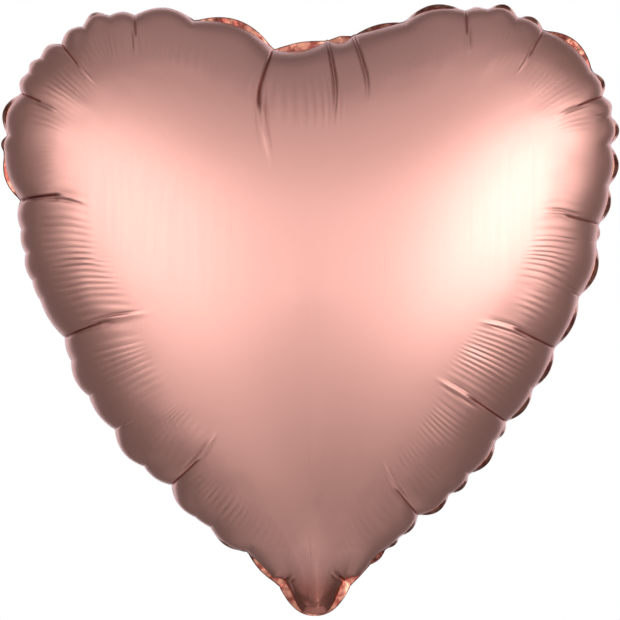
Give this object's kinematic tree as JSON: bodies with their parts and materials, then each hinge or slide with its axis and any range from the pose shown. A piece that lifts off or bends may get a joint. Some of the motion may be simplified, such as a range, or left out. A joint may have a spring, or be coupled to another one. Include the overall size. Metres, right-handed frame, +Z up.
{
  "type": "heart-shaped foil balloon",
  "caption": "Heart-shaped foil balloon: two satin metallised film panels heat-sealed round the rim, with a self-sealing valve and a filling tail folded up behind.",
  "frame": {"origin": "middle of the crease at the heart's bottom point, where the neck turns into the filling tail, on the seam plane", "axes": "+Z up through the heart, +X to the right seen from the front, -Y out of the front panel"},
  "size_m": [0.3941, 0.1586, 0.3884],
  "materials": {
    "satin_foil": "satin metallised film",
    "copper_foil": "mirror-bright metallised film",
    "valve_film": "clear polyethylene film",
    "heat_seal": "fused film"
  },
  "bodies": {
    "heart": {"front_foil_panel": "satin_foil", "back_foil_panel": "satin_foil", "rim_heat_seal": "heat_seal", "valve_front_film": "valve_film", "valve_back_film": "valve_film"},
    "tail": {"tail_front_foil": "copper_foil", "tail_back_foil": "copper_foil", "tail_left_seal": "heat_seal", "tail_right_seal": "heat_seal", "tail_valve_front_film": "valve_film", "tail_valve_back_film": "valve_film"}
  },
  "joints": [
    {"name": "tail_fold", "type": "hinge", "parent": "heart", "child": "tail", "pos_m": [0, 0, 0], "axis": [-1, 0, 0], "range_deg": [0, 145]}
  ]
}
